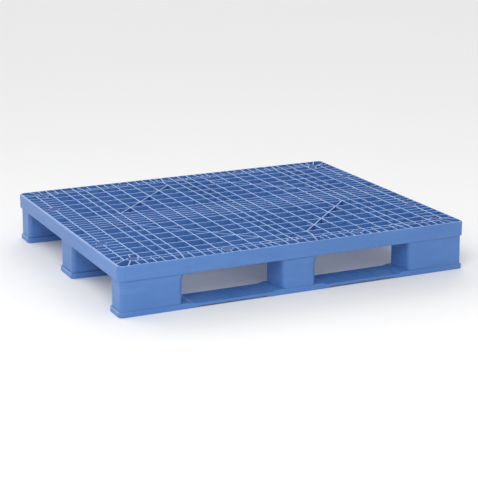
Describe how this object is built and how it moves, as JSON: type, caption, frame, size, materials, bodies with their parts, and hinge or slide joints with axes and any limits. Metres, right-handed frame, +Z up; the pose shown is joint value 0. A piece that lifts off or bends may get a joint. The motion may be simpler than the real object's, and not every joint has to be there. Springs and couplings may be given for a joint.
{
  "type": "plastic pallet",
  "caption": "Open-deck plastic pallet on blocks and lengthwise runners, with an open rib grid, fork openings on all sides, steel stiffening tubes and anti-slip plugs.",
  "frame": {"origin": "middle of the pallet's plan, on the floor under the runners", "axes": "+X along the 1200 mm side and the runners, +Y along the 1000 mm side, +Z up out of the deck"},
  "size_m": [1.2, 1, 0.161],
  "materials": {
    "deck_blue": "moulded polyethylene, satin, slightly worn on the rib tops",
    "block_blue": "moulded polyethylene, fine grain",
    "runner_blue": "moulded polyethylene, fine grain, scuffed below",
    "plug_rubber": "soft matte elastomer",
    "screw_zinc": "bright zinc plate",
    "tube_steel": "mill-finish galvanised steel"
  },
  "bodies": {
    "root": {"block_centre_left": "block_blue", "block_centre_middle": "block_blue", "block_centre_right": "block_blue", "block_front_left": "block_blue", "block_front_middle": "block_blue", "block_front_right": "block_blue", "block_rear_left": "block_blue", "block_rear_middle": "block_blue", "block_rear_right": "block_blue", "clamp_screw_centre_left": "screw_zinc", "clamp_screw_centre_middle": "screw_zinc", "clamp_screw_centre_right": "screw_zinc", "clamp_screw_front_left": "screw_zinc", "clamp_screw_front_middle": "screw_zinc", "clamp_screw_front_right": "screw_zinc", "clamp_screw_rear_left": "screw_zinc", "clamp_screw_rear_middle": "screw_zinc", "clamp_screw_rear_right": "screw_zinc", "deck": "deck_blue", "grip_plug_01": "plug_rubber", "grip_plug_02": "plug_rubber", "grip_plug_03": "plug_rubber", "grip_plug_04": "plug_rubber", "grip_plug_05": "plug_rubber", "grip_plug_06": "plug_rubber", "grip_plug_07": "plug_rubber", "grip_plug_08": "plug_rubber", "grip_plug_09": "plug_rubber", "grip_plug_10": "plug_rubber", "grip_plug_11": "plug_rubber", "grip_plug_12": "plug_rubber", "runner_centre": "runner_blue", "runner_front": "runner_blue", "runner_rear": "runner_blue", "steel_tube_1": "tube_steel", "steel_tube_2": "tube_steel", "steel_tube_3": "tube_steel", "steel_tube_4": "tube_steel"}
  },
  "joints": []
}
